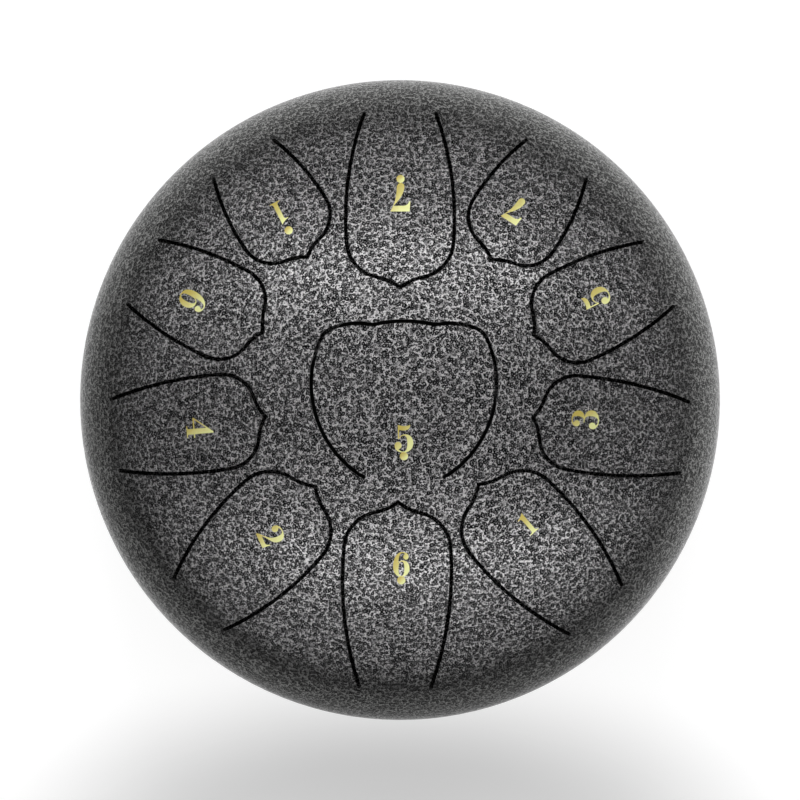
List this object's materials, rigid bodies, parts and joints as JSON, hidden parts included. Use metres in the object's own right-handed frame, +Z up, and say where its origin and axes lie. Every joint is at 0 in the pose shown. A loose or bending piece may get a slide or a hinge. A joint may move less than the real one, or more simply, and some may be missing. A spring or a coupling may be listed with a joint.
{
  "type": "steel tongue drum",
  "caption": "Round steel tongue drum: two welded steel bowls in dark hammer finish, tuned tongues cut in the top, a sound hole below and rubber feet",
  "frame": {"origin": "on the drum's axis at the level of the floor that the feet stand on", "axes": "+Z up along the drum's axis, +Y towards the back, where the low 7 tongue points, +X to the right"},
  "size_m": [0.2548, 0.2548, 0.1345],
  "materials": {
    "hammer_paint": "glossy dark grey hammer finish",
    "rubber": "matt black rubber",
    "zinc": "bright zinc plating",
    "gold_foil": "pale gold foil"
  },
  "bodies": {
    "drum": {"upper_shell": "hammer_paint", "lower_shell": "hammer_paint", "seam_weld": "hammer_paint", "foot_front_left": "rubber", "foot_front_right": "rubber", "foot_back_left": "rubber", "foot_back_right": "rubber", "foot_screws": "zinc", "foot_washers": "zinc", "inner_washers": "zinc", "foot_nuts": "zinc"},
    "tongue_low_5": {"tongue_low_5": "hammer_paint"},
    "tongue_low_6": {"tongue_low_6": "hammer_paint"},
    "tongue_low_7": {"tongue_low_7": "hammer_paint"},
    "tongue_1": {"tongue_1": "hammer_paint"},
    "tongue_2": {"tongue_2": "hammer_paint"},
    "tongue_3": {"tongue_3": "hammer_paint"},
    "tongue_4": {"tongue_4": "hammer_paint"},
    "tongue_5": {"tongue_5": "hammer_paint"},
    "tongue_6": {"tongue_6": "hammer_paint"},
    "tongue_7": {"tongue_7": "hammer_paint"},
    "tongue_high_1": {"tongue_high_1": "hammer_paint"}
  },
  "joints": [
    {"name": "flex_low_5", "type": "hinge", "parent": "drum", "child": "tongue_low_5", "pos_m": [0.0015, -0.0295, 0.13161], "axis": [-1, 0, 0], "range_deg": [-0.25, 0.25], "stiffness_Nm_per_rad": 100},
    {"name": "flex_low_6", "type": "hinge", "parent": "drum", "child": "tongue_low_6", "pos_m": [-0.00195, -0.11148, 0.10422], "axis": [-0.9998, 0.0175, 0], "range_deg": [-0.25, 0.25], "stiffness_Nm_per_rad": 147},
    {"name": "flex_low_7", "type": "hinge", "parent": "drum", "child": "tongue_low_7", "pos_m": [0, 0.1115, 0.10422], "axis": [1, 0, 0], "range_deg": [-0.25, 0.25], "stiffness_Nm_per_rad": 156},
    {"name": "flex_1", "type": "hinge", "parent": "drum", "child": "tongue_1", "pos_m": [0.07604, -0.08155, 0.10422], "axis": [-0.7314, -0.682, 0], "range_deg": [-0.25, 0.25], "stiffness_Nm_per_rad": 166},
    {"name": "flex_2", "type": "hinge", "parent": "drum", "child": "tongue_2", "pos_m": [-0.07815, -0.07953, 0.10422], "axis": [-0.7133, 0.7009, 0], "range_deg": [-0.25, 0.25], "stiffness_Nm_per_rad": 189},
    {"name": "flex_3", "type": "hinge", "parent": "drum", "child": "tongue_3", "pos_m": [0.11055, -0.01455, 0.10422], "axis": [-0.1305, -0.9914, 0], "range_deg": [-0.25, 0.25], "stiffness_Nm_per_rad": 169},
    {"name": "flex_4", "type": "hinge", "parent": "drum", "child": "tongue_4", "pos_m": [-0.11067, -0.01359, 0.10422], "axis": [-0.1219, 0.9925, 0], "range_deg": [-0.25, 0.25], "stiffness_Nm_per_rad": 184},
    {"name": "flex_5", "type": "hinge", "parent": "drum", "child": "tongue_5", "pos_m": [0.10022, 0.04888, 0.10422], "axis": [0.4384, -0.8988, 0], "range_deg": [-0.25, 0.25], "stiffness_Nm_per_rad": 176},
    {"name": "flex_6", "type": "hinge", "parent": "drum", "child": "tongue_6", "pos_m": [-0.09978, 0.04975, 0.10422], "axis": [0.4462, 0.8949, 0], "range_deg": [-0.25, 0.25], "stiffness_Nm_per_rad": 202},
    {"name": "flex_7", "type": "hinge", "parent": "drum", "child": "tongue_7", "pos_m": [0.06073, 0.09351, 0.10422], "axis": [0.8387, -0.5446, 0], "range_deg": [-0.25, 0.25], "stiffness_Nm_per_rad": 179},
    {"name": "flex_high_1", "type": "hinge", "parent": "drum", "child": "tongue_high_1", "pos_m": [-0.06073, 0.09351, 0.10422], "axis": [0.8387, 0.5446, 0], "range_deg": [-0.25, 0.25], "stiffness_Nm_per_rad": 186}
  ]
}
